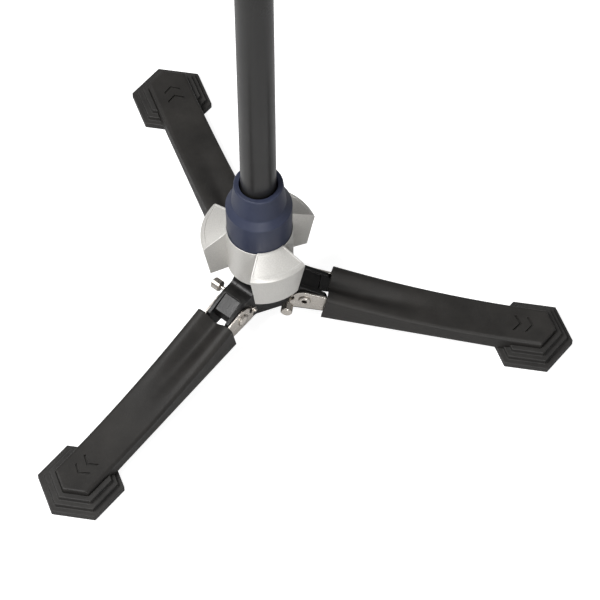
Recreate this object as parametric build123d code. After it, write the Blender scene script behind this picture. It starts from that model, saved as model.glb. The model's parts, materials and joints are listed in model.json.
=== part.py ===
from build123d import *
import math
import os

# Folding trumpet stand. Millimetres, +Z up. The origin is where the axis of the tube meets the floor.
# One leg points along +Y and the other two stand 120 degrees to either side.
# Each leg is drawn in its own frame: x outwards from the tube, y to the left of someone looking
# outwards, z up. It is then turned about the tube's axis to its place.

# ---- driving dimensions ----
LEG_ANGLES = {"back": 90.0, "left": 210.0, "right": 330.0}
TUBE_R = 8.0
TUBE_WALL = 1.2
TUBE_BOTTOM_Z = 41.0
TUBE_TOP_Z = 334.0
STAND_HEIGHT = 360.0

# base spider
BODY_R = 12.0
BODY_FLAT = 11.2
BODY_BOTTOM_Z = 11.0
BODY_TOP_Z = 36.3
ARM_HALF = 6.35
ARM_TOP_Z = 27.1
ARM_BOTTOM_Z = 9.5
ARM_KNEE_X = 19.5
ARM_TOP_SLOPE = 0.378
CHEEK_INNER = 4.45
WEB_START_Z = 26.5
WEB_END_X = 27.4
WEB_END_Z = 22.6
BARREL_R = 5.1
COVE_R = 3.6
ARM_END_R = 10.3
ROOT_FILLET = 3.0
SPIGOT_R = 9.5
SPIGOT_TOP_Z = BODY_TOP_Z + 4.2
BORE_R = 3.3
SCREW_POCKET_R = 7.0
SCREW_POCKET_TOP_Z = BODY_BOTTOM_Z + 7.0

# leg hinge and its lock
PIVOT_X = 21.8
PIVOT_Z = 18.0
RIVET_R = 1.95
RUNNING_GAP = 0.05
LOCK_X = 14.6
LOCK_Z = 19.0
LOCK_R = 2.25
LOCK_NECK_R = 0.85
BUTTON_R = 2.7
BUTTON_TRAVEL = 3.2
SPRING_ROOM_Y = 4.4
SPRING_R = 1.6
SPRING_WIRE_R = 0.19
SPRING_TURNS = 5
BUTTON_LENGTH = 4.6
PIN_END_Y = 9.3
CLIP_LOW_Y = 8.0
CLIP_HIGH_Y = 8.5
CLIP_GROOVE_R = 0.65

# bracket
PLATE_INNER = 6.5
PLATE_T = 1.0
PLATE_OUTER = PLATE_INNER + PLATE_T
PLATE_ROOT_R = 6.1
BRACKET_END_X = 52.0
BRACKET_WEB_Z = 9.6
BRACKET_WEB_X = 34.5
BRACKET_ARM_Z = 11.8
SCREW_XS = (40.0, 48.0)
SCREW_HEAD_R = 2.7
SCREW_HEAD_Z = 8.1
SCREW_SHANK_R = 1.24
SCREW_END_Z = 13.6

# leg shell
LEG_STATIONS = (28.0, 38.0, 48.0, 60.0, 74.0, 90.0, 108.0, 126.0, 142.0)
LEG_WALL = 1.8
GROOVE_DEPTH = 4.6
GROOVE_END_X = 92.0
FOOT_X = 126.75
TIER_RADII = (19.9, 17.1, 14.3)
TIER_TOPS = (3.3, 5.8, 8.3)
LEG_TIP_R = 11.3
LEG_SEAT_Z = 3.4
LEG_HALF = 10.25
LEG_TAPER = 0.45
MOUTH_X = 30.6
MOUTH_Z = 14.0
MOUTH_LEAN = 10.7
CHEVRON_TIPS = (122.3, 128.0)
CHEVRON_FLOOR_Z = 10.6
FOOT_PEG_R = 5.0
FOOT_PEG_TOP_Z = 8.2

# hub
HUB_BOTTOM_Z = BODY_TOP_Z
HUB_R = 15.3
HUB_TOP_Z = 61.6
LOBE_R = 26.9
LOBE_RIM_Z = 55.8
LOBE_BOTTOM_R = 23.7
LOBE_BOTTOM_Z = 34.2
LOBE_ROOT_Z = 62.4
LOBE_ROOT_X = 14.1
LOBE_HALF_TOP = 6.4
LOBE_HALF_BOTTOM = 5.7
LOBE_FLARE_TOP = 0.78
LOBE_FLARE_BOTTOM = 0.64
LOBE_TOP_START = (15.6, LOBE_ROOT_Z)
LOBE_TOP_END = (25.9, 57.2)
LOBE_BORDER = 0.8
LOBE_WALL = 2.0
RIM_INNER_R = 14.95
CORE_ROOM_R = 12.6

# collar
COLLAR_R = 15.05
COLLAR_SEAT_Z = 60.0
COLLAR_SHOULDER_Z = 79.2
COLLAR_TOP_Z = 95.0
COLLAR_CORE_R = 12.5

# bell peg
PEG_BOTTOM_Z = 246.0
PEG_TOP_Z = 346.0
PEG_FOOT_Z = PEG_BOTTOM_Z + 6.0
PEG_FOOT_R = 20.5
PEG_TAPER = 10.3
PEG_SWELL = 1.6
SLEEVE_T = 1.1
CAP_PLUG_R = 6.3
PEG_SCREW_ROOM_R = 6.4
PEG_FLOOR_T = 4.0


# ---- helpers ----
def turned(points):
    """A solid of revolution about the tube's axis from (radius, height) points."""
    outline = Polyline(*[(r, 0, z) for r, z in points], close=True)
    return revolve(make_face(outline), Axis.Z, 360)


def side_plate(points, low_y, high_y):
    """A flat solid whose outline lies in the leg's x-z plane, between two values of y."""
    outline = Polyline(*[(x, low_y, z) for x, z in points], close=True)
    return extrude(make_face(outline), amount=high_y - low_y, dir=(0, 1, 0))


def rod_y(x, z, radius, low_y, high_y):
    """A round rod along y."""
    middle = (low_y + high_y) / 2
    return Pos(x, middle, z) * Rot(90, 0, 0) * Cylinder(radius, high_y - low_y)


def rod_z(x, y, radius, low_z, high_z):
    """A round rod along z."""
    return Pos(x, y, (low_z + high_z) / 2) * Cylinder(radius, high_z - low_z)


def block(low, high):
    """A box between two corners."""
    size = [b - a for a, b in zip(low, high)]
    centre = [(a + b) / 2 for a, b in zip(low, high)]
    return Pos(*centre) * Box(*size)


def hexagon(radius, low_z, high_z):
    """A hexagonal prism on the foot's centre, one corner pointing outwards."""
    outline = RegularPolygon(radius, 6)
    return Pos(FOOT_X, 0, low_z) * extrude(outline, amount=high_z - low_z)


def place(part, angle):
    return Rot(0, 0, angle) * part


# ---- pieces of the base ----
def arm():
    """One forked arm of the spider: two cheeks, a barrel round the rivet and a sloping web above it."""
    end_x = PIVOT_X + ARM_END_R
    toe = 1.2
    cheek = [
        (0, ARM_BOTTOM_Z),
        (end_x - toe, ARM_BOTTOM_Z),
        (end_x, ARM_BOTTOM_Z + toe),
        (end_x, ARM_TOP_Z - ARM_TOP_SLOPE * (end_x - ARM_KNEE_X)),
        (ARM_KNEE_X, ARM_TOP_Z),
        (0, ARM_TOP_Z),
    ]
    solid = side_plate(cheek, -ARM_HALF, ARM_HALF)
    below = block((0, -ARM_HALF, ARM_BOTTOM_Z), (end_x, ARM_HALF, PIVOT_Z))
    inner = block((0, -ARM_HALF, ARM_BOTTOM_Z), (PIVOT_X, ARM_HALF, ARM_TOP_Z))
    swing = rod_y(PIVOT_X, PIVOT_Z, ARM_END_R, -ARM_HALF, ARM_HALF)
    solid = solid & (inner + below + swing)
    web = [
        (0, ARM_BOTTOM_Z),
        (PIVOT_X, ARM_BOTTOM_Z),
        (PIVOT_X + BARREL_R / 2, PIVOT_Z - BARREL_R),
        (WEB_END_X, PIVOT_Z),
        (WEB_END_X, WEB_END_Z),
        (ARM_KNEE_X, WEB_START_Z),
        (ARM_KNEE_X, ARM_TOP_Z),
        (0, ARM_TOP_Z),
    ]
    middle = side_plate(web, -CHEEK_INNER, CHEEK_INNER)
    middle += rod_y(PIVOT_X, PIVOT_Z, BARREL_R, -CHEEK_INNER, CHEEK_INNER)
    slot = block((0, -CHEEK_INNER, 0), (end_x, CHEEK_INNER, BODY_TOP_Z))
    return (solid - slot) + middle + arm_cove()


def arm_cove():
    """The hollow curve that leads from the top of an arm up into the body."""
    wall_x = BODY_R - 0.6
    inside_x = 0.7 * BODY_R
    bend = COVE_R * (1 - math.sqrt(0.5))
    low = (wall_x + COVE_R, -ARM_HALF, ARM_TOP_Z)
    middle = (wall_x + bend, -ARM_HALF, ARM_TOP_Z + bend)
    high = (wall_x, -ARM_HALF, ARM_TOP_Z + COVE_R)
    back = [
        high,
        (inside_x, -ARM_HALF, ARM_TOP_Z + COVE_R),
        (inside_x, -ARM_HALF, ARM_TOP_Z),
        low,
    ]
    outline = ThreePointArc(low, middle, high) + Polyline(*back)
    return extrude(make_face(outline), amount=2 * ARM_HALF, dir=(0, 1, 0))


def arm_roots():
    """The lower body: flat between the arms, with a round fillet in each inner corner."""
    reach = 1.5 * BODY_R
    plan = Sketch() + RegularPolygon(2 * BODY_FLAT, 3, rotation=90)
    plan &= Circle(BODY_R + 2)
    for angle in LEG_ANGLES.values():
        plan += Rot(0, 0, angle) * Pos(reach / 2, 0) * Rectangle(reach, 2 * ARM_HALF)
    inner_corners = [v for v in plan.vertices() if math.hypot(v.X, v.Y) < 1.25 * BODY_R]
    plan = fillet(inner_corners, ROOT_FILLET)
    return Pos(0, 0, ARM_BOTTOM_Z) * extrude(plan, amount=ARM_TOP_Z - ARM_BOTTOM_Z)


def pin_bores():
    """The holes across one arm for its rivet and its lock pin, which is stepped."""
    past = ARM_HALF + 1
    holes = rod_y(PIVOT_X, PIVOT_Z, RIVET_R + RUNNING_GAP, -past, past)
    holes += rod_y(LOCK_X, LOCK_Z, LOCK_R + RUNNING_GAP, -past, SPRING_ROOM_Y)
    holes += rod_y(LOCK_X, LOCK_Z, LOCK_NECK_R + RUNNING_GAP, 0, past)
    return holes


def base_spider():
    body = turned(
        [
            (0, BODY_BOTTOM_Z),
            (BODY_FLAT, BODY_BOTTOM_Z),
            (BODY_FLAT, ARM_TOP_Z - 1),
            (BODY_R, ARM_TOP_Z),
            (BODY_R, BODY_TOP_Z),
            (SPIGOT_R, BODY_TOP_Z),
            (SPIGOT_R, SPIGOT_TOP_Z),
            (0, SPIGOT_TOP_Z),
        ]
    )
    body += arm_roots()
    for angle in LEG_ANGLES.values():
        body += place(arm(), angle)
    for angle in LEG_ANGLES.values():
        body -= place(pin_bores(), angle)
    body -= rod_z(0, 0, BORE_R, 0, SPIGOT_TOP_Z + 1)
    return body - rod_z(0, 0, SCREW_POCKET_R, 0, SCREW_POCKET_TOP_Z)


def lobe_wedge(inset, low_z, high_z):
    """A wedge that opens outwards and upwards, with the slopes of a lobe's two side walls."""
    faces = []
    inner_x = 10.0
    outer_x = LOBE_R + 7
    for z in (low_z, high_z):
        t = (z - LOBE_BOTTOM_Z) / (LOBE_ROOT_Z - LOBE_BOTTOM_Z)
        half = LOBE_HALF_BOTTOM + (LOBE_HALF_TOP - LOBE_HALF_BOTTOM) * t - inset
        flare = LOBE_FLARE_BOTTOM + (LOBE_FLARE_TOP - LOBE_FLARE_BOTTOM) * t
        near = half + flare * (inner_x - LOBE_ROOT_X)
        far = half + flare * (outer_x - LOBE_ROOT_X)
        corners = [(inner_x, -near, z), (outer_x, -far, z), (outer_x, far, z), (inner_x, near, z)]
        faces.append(make_face(Polyline(*corners, close=True)))
    return loft(faces)


def lobe():
    """One lobe: drafted walls, a top that slopes outwards and a raised border round that top."""
    start_r, start_z = LOBE_TOP_START
    end_r, end_z = LOBE_TOP_END
    slope = (start_z - end_z) / (end_r - start_r)
    above_z = LOBE_ROOT_Z + 8
    outer = turned(
        [
            (RIM_INNER_R - 1, LOBE_BOTTOM_Z),
            (LOBE_BOTTOM_R, LOBE_BOTTOM_Z),
            (LOBE_R, LOBE_RIM_Z),
            LOBE_TOP_END,
            LOBE_TOP_START,
            (RIM_INNER_R - 1, LOBE_ROOT_Z),
        ]
    )
    solid = outer & lobe_wedge(0, LOBE_BOTTOM_Z, LOBE_ROOT_Z)
    sink = 0.4
    near = start_r + sink
    far = end_r - 1
    recess = turned(
        [
            (near, start_z - sink - slope * (near - start_r)),
            (far, start_z - sink - slope * (far - start_r)),
            (far, above_z),
            (near, above_z),
        ]
    )
    recess = recess & lobe_wedge(LOBE_BORDER, LOBE_BOTTOM_Z + 6, above_z)
    core_r = HUB_R + 1.7
    hollow = turned(
        [
            (core_r, LOBE_BOTTOM_Z - 1),
            (LOBE_BOTTOM_R - LOBE_WALL, LOBE_BOTTOM_Z - 1),
            (LOBE_R - LOBE_WALL, LOBE_RIM_Z - LOBE_WALL),
            (core_r, LOBE_ROOT_Z - 1.7 * LOBE_WALL),
        ]
    )
    hollow = hollow & lobe_wedge(LOBE_WALL, LOBE_BOTTOM_Z - 1, LOBE_ROOT_Z)
    return solid - recess - hollow


def lobed_hub():
    """The lobed moulding between the spider and the collar, with a thin rim round the collar."""
    edge = 0.2
    spigot_room_r = SPIGOT_R + 0.1
    spigot_room_z = SPIGOT_TOP_Z + 0.2
    skirt_r = 14.2
    hub = turned(
        [
            (spigot_room_r, HUB_BOTTOM_Z),
            (HUB_R, HUB_BOTTOM_Z),
            (HUB_R, HUB_TOP_Z - edge),
            (HUB_R - edge / 2, HUB_TOP_Z),
            (RIM_INNER_R, HUB_TOP_Z),
            (RIM_INNER_R, COLLAR_SEAT_Z),
            (CORE_ROOM_R, COLLAR_SEAT_Z),
            (CORE_ROOM_R, spigot_room_z),
            (spigot_room_r, spigot_room_z),
        ]
    )
    for angle in LEG_ANGLES.values():
        hub += place(lobe(), angle + 60)
    hub -= rod_z(0, 0, RIM_INNER_R, COLLAR_SEAT_Z, COLLAR_TOP_Z)
    return hub - rod_z(0, 0, skirt_r, LOBE_BOTTOM_Z - 1, HUB_BOTTOM_Z)


def tube_collar():
    """The long collar round the tube: a drum, a sharp shoulder and a slender tapering neck."""
    bore = TUBE_R + RUNNING_GAP
    drum_bottom_r = RIM_INNER_R - 0.2
    neck_z = COLLAR_SHOULDER_Z + 3.1
    mouth_r = TUBE_R + 0.6
    mouth_z = COLLAR_TOP_Z - 11
    edge = 0.5
    return turned(
        [
            (bore, TUBE_BOTTOM_Z),
            (COLLAR_CORE_R, TUBE_BOTTOM_Z),
            (COLLAR_CORE_R, COLLAR_SEAT_Z),
            (drum_bottom_r, COLLAR_SEAT_Z),
            (COLLAR_R, COLLAR_SHOULDER_Z - 0.6),
            (COLLAR_R - 0.45, COLLAR_SHOULDER_Z),
            (12.1, neck_z),
            (11.1, COLLAR_TOP_Z - edge),
            (10.7, COLLAR_TOP_Z),
            (mouth_r + 0.2, COLLAR_TOP_Z),
            (mouth_r, COLLAR_TOP_Z - edge),
            (mouth_r, mouth_z),
            (bore, mouth_z - 1),
        ]
    )


def stand_tube():
    inner = TUBE_R - TUBE_WALL
    return turned(
        [(inner, TUBE_BOTTOM_Z), (TUBE_R, TUBE_BOTTOM_Z), (TUBE_R, TUBE_TOP_Z), (inner, TUBE_TOP_Z)]
    )


def tube_plug(low_z, high_z, hole_r):
    outer = TUBE_R - TUBE_WALL - 0.02
    return turned([(hole_r, low_z), (outer, low_z), (outer, high_z), (hole_r, high_z)])


def base_screw():
    """The socket screw that clamps the spider and the hub to the foot of the tube, from below."""
    head_r = 5.0
    edge = 0.4
    low = BODY_BOTTOM_Z + 0.8
    high = low + head_r
    screw = turned([(0, low), (head_r - edge, low), (head_r, low + edge), (head_r, high), (0, high)])
    screw += rod_z(0, 0, BORE_R - 0.35, high, TUBE_BOTTOM_Z + 16)
    socket = Pos(0, 0, low) * extrude(RegularPolygon(2.9, 6), amount=3.0)
    return screw - socket


def base_washer():
    high = SCREW_POCKET_TOP_Z
    low = high - 1.2
    inner = BORE_R - 0.1
    outer = SCREW_POCKET_R - 0.6
    return turned([(inner, low), (outer, low), (outer, high), (inner, high)])


# ---- pieces of the bell peg ----
def peg_radius(z):
    """Outer radius of the peg's core, a cone with a gentle waist."""
    t = (z - PEG_FOOT_Z) / (PEG_TOP_Z - PEG_FOOT_Z)
    return PEG_FOOT_R - PEG_TAPER * t - PEG_SWELL * math.sin(math.pi * t)


def peg_side(growth, low_z, high_z):
    """The peg's side from low to high, moved outwards by growth."""
    count = 8
    heights = [low_z + (high_z - low_z) * i / count for i in range(count + 1)]
    return Spline(*[(peg_radius(z) + growth, 0, z) for z in heights])


def peg_core():
    """The moulded core: a flange at its foot, a bore for the tube and a floor for the screw."""
    floor_z = TUBE_TOP_Z + PEG_FLOOR_T
    bore = TUBE_R + RUNNING_GAP
    neck_r = 10.4
    flange_r = PEG_FOOT_R + 1.6
    flange_z = PEG_BOTTOM_Z + 3
    rest = Polyline(
        (peg_radius(PEG_TOP_Z), 0, PEG_TOP_Z),
        (PEG_SCREW_ROOM_R, 0, PEG_TOP_Z),
        (PEG_SCREW_ROOM_R, 0, floor_z),
        (2.7, 0, floor_z),
        (2.7, 0, TUBE_TOP_Z),
        (bore, 0, TUBE_TOP_Z),
        (bore, 0, PEG_BOTTOM_Z),
        (neck_r, 0, PEG_BOTTOM_Z),
        (neck_r, 0, flange_z),
        (flange_r, 0, flange_z),
        (flange_r, 0, PEG_FOOT_Z - 0.5),
        (PEG_FOOT_R, 0, PEG_FOOT_Z),
    )
    return revolve(make_face(peg_side(0, PEG_FOOT_Z, PEG_TOP_Z) + rest), Axis.Z, 360)


def peg_cover():
    """The velour sleeve that the trumpet's bell rests on."""
    low = PEG_FOOT_Z + 0.2
    high = PEG_TOP_Z - 0.2
    gap = 0.02
    sides = peg_side(gap, low, high) + peg_side(SLEEVE_T, low, high)
    ends = [
        Line((peg_radius(z) + gap, 0, z), (peg_radius(z) + SLEEVE_T, 0, z))
        for z in (low, high)
    ]
    return revolve(make_face(sides + ends), Axis.Z, 360)


def peg_cap():
    """The rounded nose of the peg, plugged into the core."""
    rim = peg_radius(PEG_TOP_Z) + SLEEVE_T
    shoulder_z = PEG_TOP_Z + 2
    high_z = PEG_TOP_Z + 0.7 * (STAND_HEIGHT - PEG_TOP_Z)
    inner = CAP_PLUG_R - 1.4
    dome = Polyline((rim, 0, PEG_TOP_Z), (rim, 0, shoulder_z))
    dome += Spline((rim, 0, shoulder_z), (rim * 0.82, 0, high_z), (0, 0, STAND_HEIGHT))
    floor = Polyline(
        (0, 0, STAND_HEIGHT),
        (0, 0, shoulder_z),
        (inner, 0, shoulder_z),
        (inner, 0, PEG_TOP_Z - 4),
        (CAP_PLUG_R, 0, PEG_TOP_Z - 4),
        (CAP_PLUG_R, 0, PEG_TOP_Z),
        (rim, 0, PEG_TOP_Z),
    )
    return revolve(make_face(dome + floor), Axis.Z, 360)


def cross_slot(x, half_length, low_z, high_z):
    """The cutter for a cross recess in a screw's head."""
    half_width = 0.3
    slot = block((x - half_length, -half_width, low_z), (x + half_length, half_width, high_z))
    return slot + block((x - half_width, -half_length, low_z), (x + half_width, half_length, high_z))


def peg_screw():
    """The pan-head screw down through the peg's floor into the plug in the tube."""
    seat = TUBE_TOP_Z + PEG_FLOOR_T
    head_r = 4.6
    head_z = seat + 3.0
    screw = rod_z(0, 0, 2.45, TUBE_TOP_Z - 12, seat)
    screw += turned([(0, seat), (head_r, seat), (head_r, seat + 1.6), (0.7 * head_r, head_z), (0, head_z)])
    return screw - cross_slot(0, 0.6 * head_r, seat + 2.0, head_z + 1)


# ---- pieces of a leg, each in the leg's frame ----
def leg_edge_z(x):
    """Height of the leg's top at its sides. The slope eases off towards the foot."""
    t = (x - 32.0) / 76.0
    return 24.16 - 19.74 * t + 7.6 * t * t if t < 1.25 else 11.3


def leg_bottom_z(x):
    return max(LEG_SEAT_Z, 9.9 - 0.0763 * (x - 31.0))


def groove(x):
    """Depth of the groove along the middle of the leg's top, which fades out towards the foot."""
    t = min(1.0, max(0.0, (x - 30.0) / (GROOVE_END_X - 30.0)))
    return GROOVE_DEPTH * (1 - t * t * (3 - 2 * t))


def roof_middle_z(x):
    """Height of the leg's top along its middle, at the bottom of the groove."""
    return leg_edge_z(x) + 0.9 * groove(x) / GROOVE_DEPTH - groove(x)


def leg_half_width(x):
    return LEG_HALF - LEG_TAPER * min(1.0, max(0.0, (x - 30.0) / 80.0))


def leg_section(x, wall):
    """A section of the leg across its length, shrunk by wall: flat sides under a grooved top."""
    half = leg_half_width(x) - wall
    low = leg_bottom_z(x) if wall == 0 else leg_bottom_z(x) - 6
    top = leg_edge_z(x) - wall
    depth = groove(x)
    crown = 0.9 * depth / GROOVE_DEPTH
    shape = (
        (1.0, -1.5),
        (0.95, -0.45 + 0.4 * crown),
        (0.85, 0.7 * crown),
        (0.68, crown),
        (0.5, crown - 0.18 * depth),
        (0.25, crown - 0.74 * depth),
        (0.0, crown - depth),
    )
    right = [(x, half * n, top + z) for n, z in shape]
    left = [(x, -y, z) for _, y, z in reversed(right[:-1])]
    roof = Spline(*(right + left))
    sides = Polyline(left[-1], (x, -half, low), (x, half, low), right[0])
    return make_face(roof + sides)


def chevron(tip_x):
    """A shallow arrow stroke on top of the leg's end, its point outwards."""
    arm_x = 2.7
    arm_y = 4.1
    width = 1.15
    outline = Polyline(
        (tip_x, 0),
        (tip_x - arm_x, arm_y),
        (tip_x - arm_x - width, arm_y),
        (tip_x - width, 0),
        (tip_x - arm_x - width, -arm_y),
        (tip_x - arm_x, -arm_y),
        close=True,
    )
    return Pos(0, 0, CHEVRON_FLOOR_Z) * extrude(make_face(outline), amount=4)


def leg_outline(radius, half_width, inner_x):
    """The plan of the leg's outer end: parallel sides that end in half a hexagon."""
    side_x = FOOT_X + radius - half_width * math.tan(math.radians(30))
    return Polyline(
        (inner_x, -half_width),
        (side_x, -half_width),
        (FOOT_X + radius, 0),
        (side_x, half_width),
        (inner_x, half_width),
        close=True,
    )


def leg_shell():
    """The hollow leg: grooved on top, open below, with two screw posts under its roof."""
    outer = loft([leg_section(x, 0) for x in LEG_STATIONS])
    hollow_end_x = FOOT_X - LEG_TIP_R
    inner = loft([leg_section(x, LEG_WALL) for x in LEG_STATIONS if x < hollow_end_x])
    tip = extrude(make_face(leg_outline(LEG_TIP_R, LEG_HALF + 2, PIVOT_X)), amount=40)
    shell = (outer - inner) & (Pos(0, 0, LEG_SEAT_Z) * tip)
    cutter = 40
    mouth = Pos(MOUTH_X, 0, MOUTH_Z) * Rot(0, MOUTH_LEAN, 0)
    shell -= mouth * Pos(-cutter / 2, 0, 0) * Box(cutter, cutter, 60)
    for x in SCREW_XS:
        shell += rod_z(x, 0, SCREW_HEAD_R, BRACKET_WEB_Z + PLATE_T, roof_middle_z(x) - LEG_WALL / 2)
    for x in SCREW_XS:
        shell -= rod_z(x, 0, SCREW_SHANK_R + 0.01, 5, SCREW_END_Z + 0.4)
    shell -= rod_z(FOOT_X, 0, FOOT_PEG_R + RUNNING_GAP, 0, FOOT_PEG_TOP_Z + 0.4)
    for tip_x in CHEVRON_TIPS:
        shell -= chevron(tip_x)
    return shell


def leg_bracket():
    """The plated bracket: two plates beside the arm, a web under the posts and a locking tooth."""
    past = PLATE_OUTER + 10
    shoulder_x = 31.0
    tooth_x = 14.5
    strip = [
        (PIVOT_X, PIVOT_Z + PLATE_ROOT_R),
        (shoulder_x, 22.3),
        (BRACKET_END_X, 15.6),
        (BRACKET_END_X, BRACKET_WEB_Z),
        (BRACKET_WEB_X, BRACKET_WEB_Z),
        (BRACKET_WEB_X - 2.8, BRACKET_ARM_Z),
        (PIVOT_X, BRACKET_ARM_Z),
    ]
    tooth = [
        (tooth_x, BRACKET_ARM_Z + 1.0),
        (tooth_x + 0.8, BRACKET_ARM_Z + 0.2),
        (PIVOT_X, BRACKET_ARM_Z),
        (PIVOT_X, PIVOT_Z - 1),
        (tooth_x, PIVOT_Z - 1),
    ]
    plates = side_plate(strip, -PLATE_OUTER, PLATE_OUTER)
    plates += rod_y(PIVOT_X, PIVOT_Z, PLATE_ROOT_R, -PLATE_OUTER, PLATE_OUTER)
    plates += side_plate(tooth, -PLATE_OUTER, PLATE_OUTER)
    above = block((0, -PLATE_INNER, BRACKET_WEB_Z + PLATE_T), (BRACKET_END_X + 1, PLATE_INNER, BODY_TOP_Z))
    between = block((0, -PLATE_INNER, 0), (BRACKET_WEB_X, PLATE_INNER, BODY_TOP_Z))
    bracket = plates - above - between
    bracket -= rod_y(LOCK_X, LOCK_Z, LOCK_R + 0.15, -past, past)
    bracket -= rod_y(PIVOT_X, PIVOT_Z, RIVET_R + 0.02, -past, past)
    for x in SCREW_XS:
        bracket -= rod_z(x, 0, SCREW_SHANK_R + 0.46, 0, BRACKET_WEB_Z + 2 * PLATE_T)
    return bracket


def pivot_rivet():
    """A tubular rivet: a domed head on the left and a rolled, hollow tail on the right."""
    tail_z = 0.9
    past = PLATE_OUTER + 10
    shank = rod_y(0, 0, RIVET_R, -PLATE_OUTER, PLATE_OUTER)
    head = turned([(0, 0), (3.2, 0), (3.0, 0.6), (2.2, 1.1), (0, 1.35)])
    tail = turned([(0, 0), (2.9, 0), (2.95, 0.35), (2.5, 0.85), (1.9, tail_z), (0, tail_z)])
    rivet = shank + Pos(0, PLATE_OUTER, 0) * Rot(-90, 0, 0) * head
    rivet += Pos(0, -PLATE_OUTER, 0) * Rot(90, 0, 0) * tail
    rivet -= rod_y(0, 0, RIVET_R - 0.65, -past, 1.0)
    return Pos(PIVOT_X, 0, PIVOT_Z) * rivet


def lock_button():
    """The lock pin: a finger button on a thin neck, the locking shoulder and a thin tail."""
    edge = 0.4
    head_in = -(PLATE_OUTER + BUTTON_TRAVEL + 0.9)
    head_out = head_in - BUTTON_LENGTH
    shoulder_out = -(ARM_HALF - RUNNING_GAP)
    pin = rod_y(LOCK_X, LOCK_Z, LOCK_NECK_R, head_in, PIN_END_Y)
    pin += rod_y(LOCK_X, LOCK_Z, LOCK_R, shoulder_out, -1.0)
    head = turned(
        [
            (0, 0),
            (BUTTON_R - edge, 0),
            (BUTTON_R, edge),
            (BUTTON_R, BUTTON_LENGTH - edge),
            (BUTTON_R - edge, BUTTON_LENGTH),
            (0, BUTTON_LENGTH),
        ]
    )
    pin += Pos(LOCK_X, head_out, LOCK_Z) * Rot(-90, 0, 0) * head
    ring = rod_y(LOCK_X, LOCK_Z, LOCK_R, CLIP_LOW_Y, CLIP_HIGH_Y)
    return pin - (ring - rod_y(LOCK_X, LOCK_Z, CLIP_GROOVE_R, CLIP_LOW_Y, CLIP_HIGH_Y))


def button_spring():
    """The coil between the locking shoulder and the end of its bore."""
    start_y = -0.75
    length = SPRING_ROOM_Y - start_y - 0.25
    path = Helix(pitch=length / SPRING_TURNS, height=length, radius=SPRING_R)
    section = Plane(origin=path @ 0, z_dir=path % 0) * Circle(SPRING_WIRE_R)
    coil = sweep(section, path, is_frenet=True)
    return Pos(LOCK_X, start_y, LOCK_Z) * Rot(-90, 0, 0) * coil


def pin_clip():
    """The open clip in the groove of the pin's tail."""
    gap = 0.03
    outer = 1.6
    half_mouth = 0.6
    ring = rod_y(LOCK_X, LOCK_Z, outer, CLIP_LOW_Y + gap, CLIP_HIGH_Y - gap)
    ring -= rod_y(LOCK_X, LOCK_Z, CLIP_GROOVE_R + gap, CLIP_LOW_Y, CLIP_HIGH_Y)
    low = (LOCK_X - 2 * outer, CLIP_LOW_Y, LOCK_Z - half_mouth)
    high = (LOCK_X, CLIP_HIGH_Y, LOCK_Z + half_mouth)
    return ring - block(low, high)


def bracket_screws():
    """Two pan-head screws that hold the bracket to the posts under the leg's roof."""
    screws = []
    edge_z = SCREW_HEAD_Z + 0.6
    head = turned(
        [
            (0, SCREW_HEAD_Z),
            (SCREW_HEAD_R - 0.5, SCREW_HEAD_Z),
            (SCREW_HEAD_R, edge_z),
            (SCREW_HEAD_R, BRACKET_WEB_Z),
            (0, BRACKET_WEB_Z),
        ]
    )
    for x in SCREW_XS:
        screw = Pos(x, 0, 0) * head + rod_z(x, 0, SCREW_SHANK_R, BRACKET_WEB_Z, SCREW_END_Z)
        screws.append(screw - cross_slot(x, SCREW_HEAD_R / 2, SCREW_HEAD_Z - 1, edge_z + 0.1))
    return Compound(children=[s.solid() for s in screws])


def foot_pad():
    """The rubber foot: three hexagonal steps, open at the top for the end of the leg."""
    pad = Part()
    low_z = 0
    for radius, high_z in zip(TIER_RADII, TIER_TOPS):
        pad += hexagon(radius, low_z, high_z)
        low_z = high_z
    seat = extrude(make_face(leg_outline(LEG_TIP_R + 0.1, LEG_HALF - 0.3, FOOT_X - 37)), amount=20)
    pad -= Pos(0, 0, LEG_SEAT_Z) * seat
    return pad + rod_z(FOOT_X, 0, FOOT_PEG_R, LEG_SEAT_Z - 1, FOOT_PEG_TOP_Z)


BASE_PIECES = {
    "base_spider": base_spider,
    "lobed_hub": lobed_hub,
    "tube_collar": tube_collar,
    "stand_tube": stand_tube,
    "base_screw": base_screw,
    "base_washer": base_washer,
    "peg_core": peg_core,
    "peg_cover": peg_cover,
    "peg_cap": peg_cap,
    "peg_screw": peg_screw,
}
LEG_PIECES = {
    "leg_shell": leg_shell,
    "leg_bracket": leg_bracket,
    "pivot_rivet": pivot_rivet,
    "lock_button": lock_button,
    "button_spring": button_spring,
    "pin_clip": pin_clip,
    "bracket_screws": bracket_screws,
    "foot_pad": foot_pad,
}

os.makedirs("parts", exist_ok=True)
for name, make in BASE_PIECES.items():
    export_step(make(), f"parts/{name}.step")
export_step(tube_plug(TUBE_BOTTOM_Z, TUBE_BOTTOM_Z + 18, 3.0), "parts/tube_foot_plug.step")
export_step(tube_plug(TUBE_TOP_Z - 16, TUBE_TOP_Z, 2.5), "parts/tube_top_plug.step")
for name, make in LEG_PIECES.items():
    piece = make()
    for side, angle in LEG_ANGLES.items():
        export_step(place(piece, angle), f"parts/{name}_{side}.step")
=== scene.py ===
import json
import math
import bmesh
import bpy
from mathutils import Matrix, Quaternion, Vector


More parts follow.
